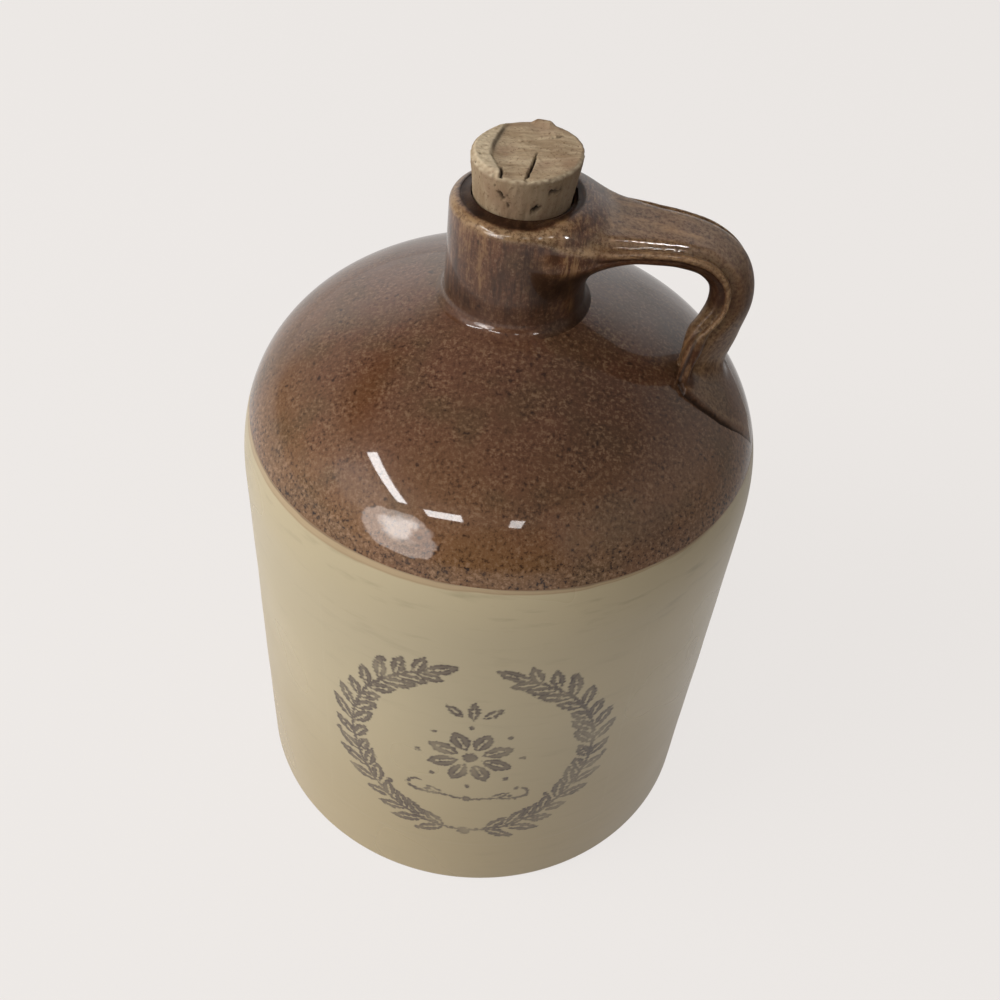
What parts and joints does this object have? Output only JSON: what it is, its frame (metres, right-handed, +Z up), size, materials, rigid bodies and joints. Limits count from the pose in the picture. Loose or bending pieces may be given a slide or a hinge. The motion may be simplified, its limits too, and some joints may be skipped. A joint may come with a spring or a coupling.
{
  "type": "stoneware crock jug",
  "caption": "Two-tone glazed stoneware jug with a straight wall, a domed shoulder, a short neck, a pulled strap handle and a cork that draws out upwards.",
  "frame": {"origin": "centre of the foot, on the plane that the jug stands on and on the axis of the wall and the neck", "axes": "+Z up along the axis of the neck, +X from the neck towards the handle, so the view along +Y shows the printed front with the handle on the right"},
  "size_m": [0.112, 0.112, 0.1687],
  "materials": {
    "light_glaze": "satin cream glaze",
    "dark_glaze": "glossy speckled brown glaze",
    "cork": "raw cork"
  },
  "bodies": {
    "jug": {"body": "light_glaze", "shoulder": "dark_glaze", "neck": "dark_glaze", "handle": "dark_glaze"},
    "stopper": {"cork_stopper": "cork"}
  },
  "joints": [
    {"name": "cork_pull", "type": "slide", "parent": "jug", "child": "stopper", "axis": [0, 0, 1], "range_m": [0, 0.06]}
  ]
}
